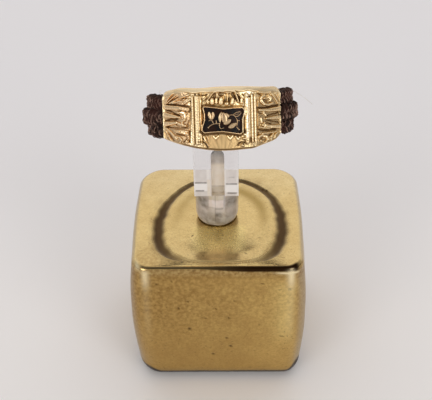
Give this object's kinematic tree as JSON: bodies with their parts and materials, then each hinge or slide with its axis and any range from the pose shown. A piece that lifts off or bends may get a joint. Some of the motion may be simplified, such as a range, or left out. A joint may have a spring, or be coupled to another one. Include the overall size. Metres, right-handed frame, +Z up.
{
  "type": "gold finger ring with a woven hair band, on a clear ring clip and brass block stand",
  "caption": "Curved gold ring front in relief with a black enamel panel and gold rose spray, on a hoop of woven hair, held upright by a clear clip on a rounded brass block.",
  "frame": {"origin": "middle of the brass block's underside", "axes": "+Z up, -Y towards the side that the gold front of the ring faces, +X to the right seen from there"},
  "size_m": [0.026, 0.0258, 0.0498],
  "materials": {
    "gold": "bright cast and chased yellow gold, darker in the hollows",
    "enamel": "glossy black enamel, finely pitted",
    "hair": "dark brown plaited hair with a soft sheen",
    "clear_plastic": "clear polished acrylic",
    "stand_brass": "satin worn brass with small pits and dark edges"
  },
  "bodies": {
    "root": {"gold_front": "gold", "enamel_panel": "enamel", "flower_spray": "gold", "hair_band": "hair", "stand_clip": "clear_plastic", "stand_block": "stand_brass"}
  },
  "joints": []
}
